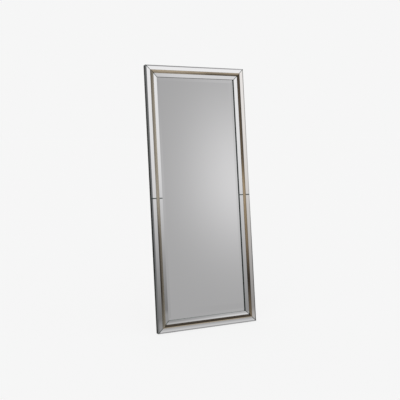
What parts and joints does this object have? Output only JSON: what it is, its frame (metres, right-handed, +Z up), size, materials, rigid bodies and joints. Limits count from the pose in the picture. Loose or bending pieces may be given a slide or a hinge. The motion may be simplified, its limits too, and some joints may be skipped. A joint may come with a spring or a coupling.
{
  "type": "leaning floor mirror",
  "caption": "Tall floor mirror that leans on a wall, with a bevelled main glass, a mirror-clad frame with a champagne bead, and hangers at the back.",
  "frame": {"origin": "on the floor, in the middle of the leaning mirror across its width and from front to back", "axes": "+Z up from the floor, +X across the mirror to the right as seen from the front, +Y backward to the wall, with the glass facing -Y and leaned back 6.8 degrees"},
  "size_m": [0.65, 0.2211, 1.5596],
  "materials": {
    "main_mirror": "silvered float glass with a polished bevel all round",
    "outer_strips": "silvered glass strips with a ground outer bevel",
    "inner_strips": "silvered glass strips, plain edges",
    "champagne_bead": "champagne metal-leaf finish on a timber moulding, satin",
    "black_core": "fibreboard painted matt black-brown",
    "fillet_timber": "sawn softwood",
    "hardboard": "smooth brown hardboard",
    "corner_steel": "zinc plated",
    "wedge_steel": "plain strip steel",
    "screws": "zinc plated",
    "hanger_steel": "zinc plated",
    "ring_steel": "nickel plated wire",
    "rubber": "matt black"
  },
  "bodies": {
    "mirror": {"back_panel": "hardboard", "back_panel_screws": "screws", "bead_bottom": "champagne_bead", "bead_left": "champagne_bead", "bead_right": "champagne_bead", "bead_top": "champagne_bead", "bottom_rail": "black_core", "corner_plate_bottom_left": "corner_steel", "corner_plate_bottom_right": "corner_steel", "corner_plate_screws": "screws", "corner_plate_top_left": "corner_steel", "corner_plate_top_right": "corner_steel", "floor_pads": "rubber", "glass_fillet_bottom": "fillet_timber", "glass_fillet_left": "fillet_timber", "glass_fillet_right": "fillet_timber", "glass_fillet_top": "fillet_timber", "hanger_screws": "screws", "hanger_strap_left": "hanger_steel", "hanger_strap_right": "hanger_steel", "inner_strip_bottom": "inner_strips", "inner_strip_left_lower": "inner_strips", "inner_strip_left_upper": "inner_strips", "inner_strip_right_lower": "inner_strips", "inner_strip_right_upper": "inner_strips", "inner_strip_top": "inner_strips", "left_stile": "black_core", "mirror_glass": "main_mirror", "mitre_wedges": "wedge_steel", "outer_strip_bottom": "outer_strips", "outer_strip_left_lower": "outer_strips", "outer_strip_left_upper": "outer_strips", "outer_strip_right_lower": "outer_strips", "outer_strip_right_upper": "outer_strips", "outer_strip_top": "outer_strips", "right_stile": "black_core", "top_rail": "black_core", "wall_bumpers": "rubber"},
    "left_ring": {"hanger_ring_left": "ring_steel"},
    "right_ring": {"hanger_ring_right": "ring_steel"}
  },
  "joints": [
    {"name": "left_ring_swing", "type": "hinge", "parent": "mirror", "child": "left_ring", "pos_m": [-0.299, 0.07554, 1.24312], "axis": [1, 0, 0], "range_deg": [-2.7, 176]},
    {"name": "right_ring_swing", "type": "hinge", "parent": "mirror", "child": "right_ring", "pos_m": [0.299, 0.07554, 1.24312], "axis": [1, 0, 0], "range_deg": [-2.7, 176]}
  ]
}
